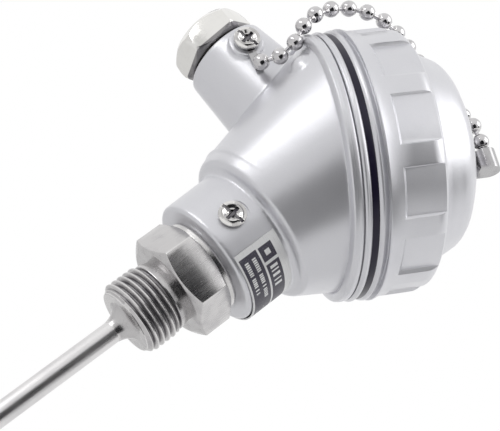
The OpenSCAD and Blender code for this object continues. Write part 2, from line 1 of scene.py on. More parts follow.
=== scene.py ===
# Thermocouple probe: a steel sheath, a threaded fitting and a painted head with a screw cap on a chain.
# The dictionaries hold millimetres and degrees; the scene itself is in metres.
import math
import bpy
import bmesh
from mathutils import Matrix, Vector
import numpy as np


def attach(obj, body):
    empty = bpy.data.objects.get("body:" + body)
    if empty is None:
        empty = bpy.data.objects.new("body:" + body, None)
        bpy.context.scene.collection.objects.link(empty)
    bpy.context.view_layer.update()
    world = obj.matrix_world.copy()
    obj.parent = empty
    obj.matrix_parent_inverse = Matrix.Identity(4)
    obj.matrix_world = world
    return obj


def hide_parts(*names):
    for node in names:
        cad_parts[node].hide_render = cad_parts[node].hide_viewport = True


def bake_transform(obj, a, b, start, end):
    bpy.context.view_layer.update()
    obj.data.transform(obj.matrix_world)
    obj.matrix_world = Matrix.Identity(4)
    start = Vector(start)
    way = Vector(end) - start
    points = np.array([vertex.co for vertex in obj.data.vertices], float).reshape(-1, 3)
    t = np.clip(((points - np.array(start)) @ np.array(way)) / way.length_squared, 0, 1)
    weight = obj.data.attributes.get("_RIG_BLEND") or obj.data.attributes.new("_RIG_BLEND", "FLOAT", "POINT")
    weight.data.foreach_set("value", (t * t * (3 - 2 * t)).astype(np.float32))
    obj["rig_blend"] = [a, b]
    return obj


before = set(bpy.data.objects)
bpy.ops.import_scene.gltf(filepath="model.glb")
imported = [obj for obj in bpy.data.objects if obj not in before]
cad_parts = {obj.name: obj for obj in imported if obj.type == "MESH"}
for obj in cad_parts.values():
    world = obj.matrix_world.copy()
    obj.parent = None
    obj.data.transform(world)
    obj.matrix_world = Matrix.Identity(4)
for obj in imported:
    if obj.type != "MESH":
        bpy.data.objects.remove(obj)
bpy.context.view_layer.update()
print("frame loaded with", len(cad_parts), "nodes")

mm = 0.001
axes = {"pivotZ": 61.5, "lean": 30.0}  # the cap leans from +Z towards +X, the cable entry looks along -X
pivot = Vector((0, 0, axes["pivotZ"] * mm))
capAxis = Matrix.Translation(pivot) @ Matrix.Rotation(math.radians(axes["lean"]), 4, "Y")
entryAxis = Matrix.Translation(pivot) @ Matrix.Rotation(math.radians(-90), 4, "Y")


def along(axis, height):
    return axis @ Matrix.Translation((0, 0, height * mm))


def facingFront(x, y, z, turn=0):  # local +Z comes out along -Y
    stand = Matrix.Translation(Vector((x, y, z)) * mm) @ Matrix.Rotation(math.radians(90), 4, "X")
    return stand @ Matrix.Rotation(math.radians(turn), 4, "Z")


# camera, lights and floor

view = {
    "place": (95.23, -286.98, -93.42), "right": (0.6586, -0.1001, 0.7458), "up": (-0.6900, -0.4760, 0.5454),
    "back": (0.3004, -0.8738, -0.3825), "lens": 86.4,
}
studio = {
    "ambient": 0.40, "floorZ": -168.0, "headZ": 50.0, "floorGlow": 0.32,
    # places are steps to the camera's right, up and back from the middle of the head
    "lamps": [  # name, place, width and watts
        ("keyLamp", (-680, 560, 420), 700, 5.2),
        ("rightLamp", (800, 330, 120), 700, 2.4),
    ],
    "flags": [  # dark cards that only reflections see: name, place, width and height
        ("cameraFlag", (60, -40, 240), 280, 300),
        ("rightFlag", (640, -230, 200), 360, 440),
    ],
}


def addToScene(thing):
    bpy.context.scene.collection.objects.link(thing)
    return thing


cameraData = bpy.data.cameras.new("photoCamera")
cameraData.lens = view["lens"]
cameraData.sensor_width = 36
cameraData.clip_start = 0.01
camera = addToScene(bpy.data.objects.new("photoCamera", cameraData))
columns = [Vector(view[key]).normalized() for key in ("right", "up", "back")]
camera.matrix_world = Matrix.Translation(Vector(view["place"]) * mm) @ Matrix(columns).transposed().to_4x4()
bpy.context.scene.camera = camera


def inStudio(place):  # a matrix at a place given from the camera's side, whose +Z looks at the head
    step = Matrix(columns).transposed() @ (Vector(place) * mm)
    turn = (-step).to_track_quat("Z", "Y").to_matrix().to_4x4()
    return Matrix.Translation(Vector((0, 0, studio["headZ"] * mm)) + step) @ turn


bpy.context.scene.view_settings.view_transform = "Standard"
print("camera set")


# shader maths

class Flow:
    # an output socket of a node, which Python's operators can work on
    def __init__(self, tree, link=None):
        self.tree, self.link = tree, link

    def node(self, kind, settings=None, sockets=None, output=0):
        made = self.tree.nodes.new(kind)
        for key, value in (settings or {}).items():
            if key == "stops":
                first, *middle, last = value
                for element, stop in zip(made.color_ramp.elements, (first, last)):
                    element.position, element.color = stop
                for position, shade in middle:
                    made.color_ramp.elements.new(position).color = shade
            else:
                setattr(made, key, value)
        for key, value in (sockets or {}).items():
            if isinstance(value, Flow):
                self.tree.links.new(value.link, made.inputs[key])
            else:
                made.inputs[key].default_value = value
        return Flow(self.tree, made.outputs[output] if len(made.outputs) else None)

    def maths(self, operation, *terms, clamp=False):
        settings = {"operation": operation, "use_clamp": clamp}
        return self.node("ShaderNodeMath", settings, dict(enumerate(terms)))

    def __add__(self, other):
        return self.maths("ADD", self, other)

    def __sub__(self, other):
        return self.maths("SUBTRACT", self, other)

    def __rsub__(self, other):
        return self.maths("SUBTRACT", other, self)

    def __mul__(self, other):
        return self.maths("MULTIPLY", self, other)

    def __pow__(self, other):
        return self.maths("POWER", self, other)

    __radd__ = __add__
    __rmul__ = __mul__


def rgba(shade):
    return (shade[0], shade[1], shade[2], 1.0)


def mixed(factor, first, second):  # two colours by a factor
    shades = [shade if isinstance(shade, Flow) else rgba(shade) for shade in (first, second)]
    settings = {"data_type": "RGBA", "clamp_factor": True}
    return factor.node("ShaderNodeMix", settings, {0: factor, 6: shades[0], 7: shades[1]}, 2)


def between(value, low, high):  # 0 below low, 1 above high, smooth between
    sockets = {"Value": value, "From Min": low, "From Max": high}
    return value.node("ShaderNodeMapRange", {"interpolation_type": "SMOOTHSTEP"}, sockets)


def newShader(name):
    material = bpy.data.materials.new(name)
    material.use_nodes = True
    material.node_tree.nodes.clear()
    return material, Flow(material.node_tree)


def placeOn(flow, axis=None):  # coordinates of the part, or of one of its axes
    place = flow.node("ShaderNodeTexCoord", output="Object")
    if axis is None:
        return place
    turn = axis.to_euler()
    sockets = {"Vector": place, "Location": axis.to_translation(), "Rotation": turn}
    return flow.node("ShaderNodeMapping", {"vector_type": "TEXTURE"}, sockets)


def noiseOf(place, size, detail=2.0, stretch=(1, 1, 1)):  # size is a feature's width in millimetres
    scale = [1.0 / (size * mm * part) for part in stretch]
    wide = place.node("ShaderNodeVectorMath", {"operation": "MULTIPLY"}, {0: place, 1: scale})
    return place.node("ShaderNodeTexNoise", None, {"Vector": wide, "Scale": 1.0, "Detail": detail}, "Fac")


def radiusAndHeight(place):
    parts = [place.node("ShaderNodeSeparateXYZ", None, {0: place}, output) for output in ("X", "Y", "Z")]
    return (parts[0] * parts[0] + parts[1] * parts[1]) ** 0.5, parts[2]


def latheLines(place, pitch, detail=3.0):  # grooves that run round the axis, on turned sides and faces
    radius, height = radiusAndHeight(place)
    line = (radius * 0.83 + height) * (1.0 / (pitch * mm))  # 0.83 keeps lines on 45 degree cones too
    sockets = {"W": line, "Scale": 1.0, "Detail": detail}
    return place.node("ShaderNodeTexNoise", {"noise_dimensions": "1D"}, sockets, "Fac")


def bumpOf(height, depth, strength=1.0):  # depth in millimetres for a height of 1
    sockets = {"Height": height, "Distance": depth * mm, "Strength": strength}
    return height.node("ShaderNodeBump", None, sockets)


def edgeOf(flow, low=0.51, high=0.56):  # where the surface turns outwards, worn brighter
    return between(flow.node("ShaderNodeNewGeometry", output="Pointiness"), low, high)


def highest(masks):
    total = masks[0]
    for mask in masks[1:]:
        total = total.maths("MAXIMUM", total, mask)
    return total


def paintedShadeMask(place, spots):  # mask of painted shade: 1 inside rings given by their radius from and to, and height from and to
    radius, height = radiusAndHeight(place)
    masks = []
    for near, far, low, high, soft in spots:
        inside = between(radius, (near - soft) * mm, near * mm) * between(radius, (far + soft) * mm, far * mm)
        for edge, level in ((low - soft, low), (high + soft, high)):
            inside = inside * between(height, edge * mm, level * mm)
        masks.append(inside)
    return highest(masks)


def surface(flow, **sockets):
    names = {"color": "Base Color", "rough": "Roughness", "metal": "Metallic", "normal": "Normal",
             "coat": "Coat Weight", "coatRough": "Coat Roughness", "specular": "Specular IOR Level",
             "glow": "Emission Color", "glowing": "Emission Strength"}
    values = {names[key]: rgba(value) if key == "color" and not isinstance(value, Flow) else value
              for key, value in sockets.items()}
    shader = flow.node("ShaderNodeBsdfPrincipled", None, values)
    flow.node("ShaderNodeOutputMaterial", None, {"Surface": shader})


# finishes

paintLook = {
    "color": (0.745, 0.745, 0.775), "deep": (0.66, 0.66, 0.70), "rough": 0.33, "metal": 0.62,
    "peel": 0.9, "peelDepth": 0.010, "cast": 7.0, "castDepth": 0.10, "grain": 0.12, "coat": 0.15,
    "coatRough": 0.3, "worn": (0.84, 0.84, 0.86),
}


def paintShader(name, axis=None, edges=0.0):
    # satin silver paint on a die casting: orange peel, faint casting waves, metal flakes, worn edges
    material, flow = newShader(name)
    place = placeOn(flow, axis)
    peel = noiseOf(place, paintLook["peel"], 2.0)
    cast = noiseOf(place, paintLook["cast"], 2.0)
    grain = noiseOf(place, paintLook["grain"], 1.0)
    dust = between(noiseOf(place, 14.0, 4.0), 0.45, 0.75)
    shade = mixed(between(grain, 0.35, 0.65) * 0.35 + dust * 0.25, paintLook["color"], paintLook["deep"])
    shade = mixed(edgeOf(flow, 0.53, 0.58) * edges, shade, paintLook["worn"])
    height = peel * paintLook["peelDepth"] + cast * paintLook["castDepth"] + grain * 0.0015
    rough = paintLook["rough"] + (grain - 0.5) * 0.10 + dust * 0.05
    surface(flow, color=shade, rough=rough, metal=paintLook["metal"], coat=paintLook["coat"],
            coatRough=paintLook["coatRough"], normal=bumpOf(height, 1.0, 0.55))
    return material


# colour of the painted shade in screw slots, thread roots and gaps between parts
paintedShadeColor = (0.035, 0.03, 0.045)


def turnedMetal(name, look, axis=None):
    # lathe lines round the axis, fine scratches along it, random stains, and painted shade in the low places
    # that a look lists
    material, flow = newShader(name)
    place = placeOn(flow, axis)
    lines = latheLines(place, look["lines"])
    coarse = latheLines(place, look["lines"] * 7, 1.0)
    scratch = noiseOf(place, look["scratch"], 2.0, look.get("stretch", (1, 1, 30)))
    stain = between(noiseOf(place, look["stain"], 3.0), 0.4, 0.72)
    shade = mixed(stain * 0.5 + lines * 0.25, look["color"], look["deep"])
    shade = mixed(edgeOf(flow) * 0.5, shade, look["edge"])
    height = lines * look["depth"] + coarse * look["depth"] * 1.6 + scratch * look["scratchDepth"]
    rough = look["rough"] + (scratch - 0.5) * 0.16 + stain * 0.05
    # painted shade: the listed rings are darkened towards the shade colour and made rougher
    if "paintedShade" in look:
        paintedShade = paintedShadeMask(place, look["paintedShade"]) * ((0.75 + stain * 0.25) * look["paintedShadeStrength"])
        shade = mixed(paintedShade, shade, paintedShadeColor)
        rough = rough + paintedShade * 0.2
    surface(flow, color=shade, rough=rough, metal=1.0, normal=bumpOf(height, 1.0, 0.6))
    return material


steelLook = {
    "color": (0.60, 0.59, 0.58), "deep": (0.40, 0.39, 0.40), "edge": (0.86, 0.85, 0.84), "rough": 0.24,
    "lines": 0.16, "depth": 0.0030, "scratch": 0.22, "scratchDepth": 0.0035, "stain": 4.0,
}
# painted shade in the thread roots, between the crest and root radii
fittingLook = dict(steelLook, color=(0.57, 0.56, 0.56), paintedShadeStrength=0.7, paintedShade=[(8.5, 9.4, -12.5, -3.4, 0.5)])
sheathLook = dict(steelLook, color=(0.72, 0.71, 0.71), deep=(0.58, 0.57, 0.58), rough=0.30, lines=0.3,
                  depth=0.0012, scratch=0.12, scratchDepth=0.0015, stretch=(1, 1, 60), stain=9.0)
nickelLook = dict(steelLook, color=(0.80, 0.79, 0.765), deep=(0.72, 0.71, 0.69), edge=(0.92, 0.91, 0.89),
                  rough=0.085, lines=0.5, depth=0.0008, scratch=0.5, scratchDepth=0.0006, stretch=(1, 1, 1),
                  stain=6.0)
unshadedScrewLook = dict(nickelLook, color=(0.62, 0.61, 0.60), deep=(0.40, 0.39, 0.39), rough=0.12, lines=0.2,
                      depth=0.0018, stain=2.0)
# painted shade in the slot and cross, and in a ring under the rim of the head
screwLook = dict(unshadedScrewLook, paintedShadeStrength=1.0, paintedShade=[(0, 3.4, 0.2, 1.0, 0.25), (3.1, 4.2, -0.3, 0.15, 0.2)])
chainLook = dict(nickelLook, color=(0.58, 0.57, 0.58), deep=(0.36, 0.35, 0.37), rough=0.10, scratch=0.25,
                 scratchDepth=0.0012, stain=1.6)
clipLook = dict(chainLook, color=(0.42, 0.41, 0.42), deep=(0.26, 0.25, 0.27), edge=(0.5, 0.5, 0.5), rough=0.2)
# painted shade on the hexagon's chamfer that faces the boss, in the gap between them
glandLook = dict(nickelLook, paintedShadeStrength=0.9, paintedShade=[(9.0, 13.5, 47.0, 50.25, 0.3)])
washerLook = dict(steelLook, color=(0.68, 0.67, 0.65), rough=0.2, lines=0.1)
brassLook = dict(steelLook, color=(0.72, 0.55, 0.26), deep=(0.5, 0.36, 0.16), edge=(0.86, 0.72, 0.42),
                 rough=0.24, stain=2.2)
wireLook = dict(steelLook, color=(0.55, 0.53, 0.49), deep=(0.36, 0.34, 0.31), rough=0.34, lines=0.1,
                scratch=0.1, stain=1.5)


def rubberShader(name, shade, dusty, rough, axis=None, grain=0.25):
    # moulded rubber: faint grain, a bloom of dust, gloss that changes a little
    material, flow = newShader(name)
    place = placeOn(flow, axis)
    fine = noiseOf(place, grain, 3.0)
    bloom = between(noiseOf(place, 5.0, 4.0), 0.5, 0.8)
    color = mixed(bloom * 0.4 + fine * 0.15, shade, dusty)
    surface(flow, color=color, rough=rough + bloom * 0.12 + (fine - 0.5) * 0.08, metal=0.0, specular=0.35,
            normal=bumpOf(fine, 0.004, 0.5))
    return material


def ceramicShader(name, shade, deep, rough, size, depth, weave=(1, 1, 1)):
    # fired or cast stuff: pores, speckle and uneven colour
    material, flow = newShader(name)
    place = placeOn(flow)
    pores = noiseOf(place, size, 4.0, weave)
    cloud = noiseOf(place, size * 14, 3.0)
    speck = between(noiseOf(place, size * 0.6, 1.0), 0.66, 0.72)
    color = mixed(cloud * 0.6 + speck * 0.35, shade, deep)
    surface(flow, color=color, rough=rough + (pores - 0.5) * 0.2, metal=0.0, normal=bumpOf(pores, depth, 0.6))
    return material


labelLook = {
    "foil": (0.90, 0.90, 0.90), "foilDeep": (0.84, 0.84, 0.85), "ink": (0.055, 0.05, 0.075),
    "dark": [  # printed fields on the label: left, right, bottom and top as shares
        (0.035, 0.985, 0.03, 0.455), (0.04, 0.135, 0.50, 0.82), (0.155, 0.60, 0.50, 0.82),
    ],
    "light": [  # plain marks inside the fields
        (0.07, 0.105, 0.60, 0.72), (0.175, 0.195, 0.57, 0.75), (0.208, 0.218, 0.57, 0.75),
        (0.236, 0.256, 0.57, 0.75), (0.280, 0.290, 0.57, 0.75), (0.310, 0.330, 0.57, 0.75),
    ],
    "rows": [(0.055, 0.36, 0.285, 0.375), (0.055, 0.30, 0.105, 0.195), (0.45, 0.95, 0.275, 0.29),
             (0.45, 0.95, 0.105, 0.12)],
    "dash": 0.0135,  # width of the short bars that fill the rows
    "softX": 0.0015, "softY": 0.004,  # half the width of a printed field's edge
}


def labelShader():
    # brushed foil with printed fields, read from the label's own UV map
    material, flow = newShader("labelFoil")
    spot = flow.node("ShaderNodeUVMap", {"uv_map": "labelMap"})
    across = flow.node("ShaderNodeSeparateXYZ", None, {0: spot}, "X")
    upward = flow.node("ShaderNodeSeparateXYZ", None, {0: spot}, "Y")

    def span(value, low, high, soft):
        return between(value, low - soft, low + soft) * (1 - between(value, high - soft, high + soft))

    def fields(rows):
        return highest([span(across, left, right, labelLook["softX"])
                        * span(upward, low, high, labelLook["softY"]) for left, right, low, high in rows])

    place = placeOn(flow)
    brushed = noiseOf(place, 0.12, 3.0, (40, 40, 1))
    smudge = noiseOf(place, 6.0, 3.0)
    step = across * (1 / labelLook["dash"])
    beat = step.maths("FRACT", step)
    count = step.maths("FLOOR", step)
    width = count.node("ShaderNodeTexWhiteNoise", {"noise_dimensions": "1D"}, {"W": count}, "Value")
    dashes = between(beat, 0.10, 0.16) * between(beat - width * 0.25, 0.74, 0.66) * between(width, 0.13, 0.14)
    ink = fields(labelLook["dark"]) * (1 - fields(labelLook["light"]))
    ink = ink * (1 - fields(labelLook["rows"]) * dashes)
    ink = ink * (0.93 + between(noiseOf(place, 0.35, 2.0), 0.3, 0.5) * 0.07)
    foil = mixed(brushed * 0.6 + smudge * 0.3, labelLook["foil"], labelLook["foilDeep"])
    color = mixed(ink, foil, labelLook["ink"])
    rough = 0.3 + (brushed - 0.5) * 0.2 + ink * 0.12
    surface(flow, color=color, rough=rough, metal=0.12 - ink * 0.12,
            normal=bumpOf(brushed + ink * 2, 0.002, 0.4))
    return material


bodyPaint = paintShader("headPaint")
capPaint = paintShader("capPaint", capAxis, 0.3)
fittingSteel = turnedMetal("fittingSteel", fittingLook)
sheathSteel = turnedMetal("sheathSteel", sheathLook)
glandNickel = turnedMetal("glandNickel", glandLook, entryAxis)
screwNickel = turnedMetal("screwNickel", unshadedScrewLook)
chainNickel = turnedMetal("chainNickel", chainLook)
clipNickel = turnedMetal("clipNickel", clipLook)
washerSteel = turnedMetal("washerSteel", washerLook, entryAxis)
terminalBrass = turnedMetal("terminalBrass", brassLook, capAxis)
thermoWire = turnedMetal("thermoWire", wireLook)
ringRubber = rubberShader("ringRubber", (0.009, 0.006, 0.024), (0.025, 0.02, 0.05), 0.30, capAxis)
sealRubber = rubberShader("sealRubber", (0.02, 0.02, 0.022), (0.07, 0.07, 0.07), 0.45, entryAxis)
blockCeramic = ceramicShader("blockCeramic", (0.80, 0.77, 0.69), (0.66, 0.62, 0.54), 0.42, 0.3, 0.02)
oxidePowder = ceramicShader("oxidePowder", (0.82, 0.81, 0.78), (0.7, 0.68, 0.64), 0.8, 0.15, 0.04)
sealResin = ceramicShader("sealResin", (0.05, 0.045, 0.04), (0.09, 0.08, 0.07), 0.3, 0.6, 0.01)
sleeveGlass = ceramicShader("sleeveGlass", (0.78, 0.75, 0.66), (0.58, 0.55, 0.47), 0.6, 0.18, 0.03,
                            (1, 1, 2.5))
print("finishes made")


# mesh helpers

def rounded(outline, parts=5):
    # a third number on a point of the outline rounds that corner to this radius
    points = []
    for index, point in enumerate(outline):
        here = Vector(point[:2])
        if len(point) < 3:
            points.append(here)
            continue
        back = Vector(outline[index - 1][:2]) - here
        ahead = Vector(outline[(index + 1) % len(outline)][:2]) - here
        half = back.angle(ahead) / 2
        reach = min(point[2] / math.tan(half), 0.48 * back.length, 0.48 * ahead.length)
        middle = here + (back.normalized() + ahead.normalized()).normalized() * (reach / math.cos(half))
        start, end = here + back.normalized() * reach - middle, here + ahead.normalized() * reach - middle
        points += [middle + start.slerp(end, part / parts) for part in range(parts + 1)]
    return points


def turned(bm, outline, steps=96, place=Matrix(), closed=False, parts=5):
    # spins an outline of (radius, height) round Z and closes its seam and poles
    before = set(bm.verts)
    verts = [bm.verts.new((point[0] * mm, 0, point[1] * mm)) for point in rounded(outline, parts)]
    edges = [bm.edges.new(pair) for pair in zip(verts, verts[1:])]
    if closed:
        edges.append(bm.edges.new((verts[-1], verts[0])))
    bmesh.ops.spin(bm, geom=verts + edges, cent=(0, 0, 0), axis=(0, 0, 1), angle=math.tau, steps=steps,
                   use_merge=True, use_duplicate=False)
    made = [vert for vert in bm.verts if vert not in before]
    bmesh.ops.remove_doubles(bm, verts=made, dist=1e-7)
    made = [vert for vert in bm.verts if vert not in before]
    bmesh.ops.recalc_face_normals(bm, faces=list({face for vert in made for face in vert.link_faces}))
    bmesh.ops.transform(bm, matrix=place, verts=made)
    return made


def solidOf(outline, **options):  # a closed turned solid in a bmesh of its own
    bm = bmesh.new()
    turned(bm, outline, **options)
    return bm


def rod(radius, low, high, place=Matrix(), steps=64, edge=0.0):
    ends = [(radius, low, edge), (radius, high, edge)] if edge else [(radius, low), (radius, high)]
    return solidOf([(0, low)] + ends + [(0, high)], steps=steps, place=place, parts=3)


def block(size, place):
    bm = bmesh.new()
    bmesh.ops.create_cube(bm, size=1.0)
    bmesh.ops.scale(bm, vec=Vector(size) * mm, verts=bm.verts)
    bmesh.ops.transform(bm, matrix=place, verts=bm.verts)
    return bm


def hexBar(flats, low, high, place=Matrix(), turn=30):
    bm = bmesh.new()
    radius = flats / 2 / math.cos(math.radians(30)) * mm
    middle = Matrix.Translation((0, 0, (low + high) / 2 * mm)) @ Matrix.Rotation(math.radians(turn), 4, "Z")
    bmesh.ops.create_cone(bm, cap_ends=True, segments=6, radius1=radius, radius2=radius,
                          depth=(high - low) * mm, matrix=place @ middle)
    return bm


def asObject(bm, name="work"):
    mesh = bpy.data.meshes.new(name)
    bm.to_mesh(mesh)
    bm.free()
    return addToScene(bpy.data.objects.new(name, mesh))


def asMesh(thing):  # a bmesh of what the object's modifiers make, and the object is gone
    bpy.context.view_layer.update()
    made = thing.evaluated_get(bpy.context.evaluated_depsgraph_get())
    bm = bmesh.new()
    bm.from_mesh(made.to_mesh())
    made.to_mesh_clear()
    bpy.data.meshes.remove(thing.data)
    return bm


def combined(bm, others, operation):
    thing = asObject(bm)
    tools = [asObject(other, "tool") for other in others]
    for tool in tools:
        step = thing.modifiers.new("step", "BOOLEAN")
        step.operation, step.solver, step.object = operation, "EXACT", tool
    bm = asMesh(thing)
    for tool in tools:
        bpy.data.meshes.remove(tool.data)
    return bm


def joined(bm, *others):
    for other in others:
        mesh = bpy.data.meshes.new("step")
        other.to_mesh(mesh)
        other.free()
        bm.from_mesh(mesh)
        bpy.data.meshes.remove(mesh)
    return bm


def softenEdges(bm, width, angle=28, parts=2):
    bmesh.ops.remove_doubles(bm, verts=bm.verts, dist=2e-6)
    bmesh.ops.dissolve_degenerate(bm, dist=2e-6, edges=bm.edges)
    sharp = [edge for edge in bm.edges if len(edge.link_faces) == 2
             and edge.calc_face_angle(0) > math.radians(angle)]
    bmesh.ops.bevel(bm, geom=sharp, offset=width * mm, offset_type="OFFSET", segments=parts, profile=0.5,
                    affect="EDGES", clamp_overlap=True, material=-1)
    return bm


def addPiece(bm, name, material, body, nodes=(), angle=32):
    thing = asObject(bm, name)
    thing.data.shade_smooth()
    thing.data.set_sharp_from_angle(angle=math.radians(angle))
    thing.data.materials.append(material)
    if body:
        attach(thing, body)
    if nodes:
        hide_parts(*nodes)
    print(name, "made,", sum(len(face.vertices) - 2 for face in thing.data.polygons), "triangles")
    return thing


def threadShell(shape, steps=96, place=Matrix()):
    # one pitch of the flanks climbs round the axis, is trimmed to its envelope and closed at both ends
    crest, root, pitch = shape["crest"], shape["root"], shape["pitch"]
    low, high, count = shape["from"], shape["to"], shape.get("points", 12)
    bm = bmesh.new()
    verts = []
    for index in range(count + 1):
        rise = 1 - abs(2 * index / count - 1)
        rise = min(1, max(0, (rise - 0.14) / 0.72))  # flat at crest and root for 14% each
        radius = root + (crest - root) * rise * rise * (3 - 2 * rise)
        verts.append(bm.verts.new((radius * mm, 0, (low - pitch + pitch * index / count) * mm)))
    edges = [bm.edges.new(pair) for pair in zip(verts, verts[1:])]
    turns = math.ceil((high - low) / pitch) + 2
    bmesh.ops.spin(bm, geom=verts + edges, cent=(0, 0, 0), axis=(0, 0, 1), angle=math.tau * turns,
                   steps=steps * turns, dvec=(0, 0, pitch * mm / steps), use_duplicate=False)
    bmesh.ops.remove_doubles(bm, verts=bm.verts, dist=1e-6)
    for vert in bm.verts:
        radius = math.hypot(vert.co.x, vert.co.y)
        gap = min(vert.co.z / mm - low, high - vert.co.z / mm)
        limit = (shape["start"] + max(gap, 0) * shape.get("slope", 1.0)) * mm
        if radius > limit:
            vert.co.x *= limit / radius
            vert.co.y *= limit / radius
    for height, side in ((low, -1), (high, 1)):
        bmesh.ops.bisect_plane(bm, geom=bm.verts[:] + bm.edges[:] + bm.faces[:], dist=1e-7,
                               plane_co=(0, 0, height * mm), plane_no=(0, 0, side), clear_outer=True)
    bmesh.ops.holes_fill(bm, edges=[edge for edge in bm.edges if edge.is_boundary], sides=0)
    bmesh.ops.recalc_face_normals(bm, faces=bm.faces)
    bmesh.ops.transform(bm, matrix=place, verts=bm.verts)
    return bm


# head casting

casting = {
    "neckR": 18.7, "neckFrom": 12.0, "neckRound": 1.6, "stepZ": 28.8, "hubR": 22.6, "hubRound": 2.0,
    "bowlR": 34.8, "flangeFrom": -5.7, "flangeTo": -1.5, "discR": 36.6,
    "entryReach": 48.0, "entryR": 13.3, "entryRootR": 14.8, "entryRound": 1.4,
    "padX": -40.8, "padY": 14.7, "padZ": 62.0, "padR": 5.0,
    "hubLipR": 23.0, "hubLipZ": 33.3, "voxel": 0.45, "soften": 3,
    "lug": (-8.0, -127.0, 28.6), "lugR": 5.6,  # its height, turn and reach on the cap's axis
    "spigotR": 9.05, "spigotTop": 29.05, "wellR": 15.5, "wellFrom": 32.05, "chamberR": 26.5,
    "chamberFrom": -11.7, "boreR": 10.0, "boreFrom": 27.0, "throatR": 7.5,
    "setZ": 20.652, "setY": 18.15, "setR": 4.6, "holeR": 1.95,
}


def makeCasting(c):
    hull = bmesh.new()
    rings = [
        (c["hubR"] - c["hubRound"], Matrix.Translation((0, 0, c["stepZ"] * mm))),
        (c["hubR"] - c["hubRound"] * 0.3,
         Matrix.Translation((0, 0, (c["stepZ"] + c["hubRound"] * 0.3) * mm))),
        (c["hubR"], Matrix.Translation((0, 0, (c["stepZ"] + c["hubRound"]) * mm))),
        (c["hubR"], Matrix.Translation((0, 0, (c["stepZ"] + 2 * c["hubRound"]) * mm))),
        (c["bowlR"], along(capAxis, c["flangeFrom"])),
        (c["bowlR"], along(capAxis, c["flangeTo"] - 0.2)),
    ]
    for radius, place in rings:
        bmesh.ops.create_circle(hull, cap_ends=False, radius=radius * mm, segments=160, matrix=place)
    made = bmesh.ops.convex_hull(hull, input=hull.verts[:])
    spare = [item for item in made["geom_interior"] if isinstance(item, bmesh.types.BMVert)]
    bmesh.ops.delete(hull, geom=spare, context="VERTS")

    neck = solidOf([(0, c["neckFrom"]), (c["neckR"], c["neckFrom"], c["neckRound"]),
                    (c["neckR"], c["stepZ"] + 4), (0, c["stepZ"] + 4)], steps=160)
    boss = solidOf([(0, 0), (c["entryRootR"] + 0.6, 0), (c["entryRootR"], c["boreFrom"]),
                    (c["entryR"], c["entryReach"], c["entryRound"]), (0, c["entryReach"])],
                   steps=128, place=entryAxis)
    top = along(capAxis, c["flangeTo"] - 0.3)
    bmesh.ops.bisect_plane(boss, geom=boss.verts[:] + boss.edges[:] + boss.faces[:], dist=1e-7,
                           plane_co=top.to_translation(), plane_no=top.col[2].to_3d(), clear_outer=True)
    bmesh.ops.holes_fill(boss, edges=[edge for edge in boss.edges if edge.is_boundary], sides=0)
    step = c["stepZ"]
    hub = solidOf([(0, step - 0.4), (c["neckR"] + 0.4, step - 0.4), (c["neckR"] + 0.9, step),
                   (c["hubLipR"] - 1.0, step + 0.2, 1.6), (c["hubLipR"], c["hubLipZ"] - 1.6, 1.2),
                   (c["hubLipR"], c["hubLipZ"], 0.3), (0, c["hubLipZ"])], steps=160)
    disc = rod(c["discR"], c["flangeFrom"], c["flangeTo"] - 0.2, capAxis, 160)
    height, turn, reach = c["lug"]
    lug = bmesh.new()
    stand = capAxis @ Matrix.Rotation(math.radians(turn), 4, "Z")
    stand = stand @ Matrix.Translation((reach * mm, 0, height * mm)) @ Matrix.Diagonal((0.95, 1.0, 0.8, 1))
    bmesh.ops.create_icosphere(lug, subdivisions=4, radius=c["lugR"] * mm, matrix=stand)
    pad = rod(c["padR"], 0, c["padY"], facingFront(c["padX"], 0, c["padZ"]), 64)
    bm = joined(hull, neck, hub, boss, disc, pad, lug)
    bmesh.ops.recalc_face_normals(bm, faces=bm.faces)

    thing = asObject(bm)
    fuse = thing.modifiers.new("fuse", "REMESH")
    fuse.mode, fuse.voxel_size, fuse.use_smooth_shade = "VOXEL", c["voxel"] * mm, True
    soft = thing.modifiers.new("soft", "SMOOTH")
    soft.factor, soft.iterations = 0.5, c["soften"]
    bm = asMesh(thing)

    cuts = [
        rod(c["spigotR"], c["neckFrom"] - 2, c["spigotTop"], steps=96),
        rod(4.0, c["spigotTop"] - 1, c["wellFrom"] + 1, steps=48),
        rod(c["wellR"], c["wellFrom"], axes["pivotZ"] - 2, steps=96),
        rod(c["chamberR"], c["chamberFrom"], 12, capAxis, 128),
        rod(c["boreR"], c["boreFrom"], c["entryReach"] + 3, entryAxis, 96),
        rod(c["throatR"], 0, c["boreFrom"] + 1, entryAxis, 64),
    ]
    spots = joined(
        rod(c["setR"], 0, 6, facingFront(0, -c["setY"], c["setZ"]), 64),
        rod(c["holeR"], 9.8, c["padY"] + 2, facingFront(c["padX"], 0, c["padZ"]), 32))
    setHole = rod(c["holeR"], 8, 18.5, facingFront(0, 0, c["setZ"]), 32)
    hollow = combined(cuts[0], cuts[1:], "UNION")
    return combined(bm, [hollow, spots, setHole], "DIFFERENCE")


addPiece(makeCasting(casting), "headCasting", bodyPaint, "head", ["head_body"], 40)

flange = {"r": 37.4, "inner": 32.9, "low": -5.75, "top": -1.5, "mouthR": 32.6, "mouthTop": 10.0, "pitch": 3.0}
flangeRing = solidOf([
    (flange["inner"], flange["low"] + 1.2), (35.6, flange["low"] + 0.06, 0.25),
    (37.0, flange["low"] + 0.25, 0.5),
    (flange["r"], -4.7, 0.7), (flange["r"], -3.45, 0.8), (36.55, -3.0, 0.5), (36.55, -2.75, 0.4),
    (flange["r"], -2.3, 0.5), (flange["r"], flange["top"], 0.45), (flange["inner"], flange["top"]),
], steps=200, place=capAxis, closed=True)
addPiece(flangeRing, "flangeRing", bodyPaint, "head", angle=50)

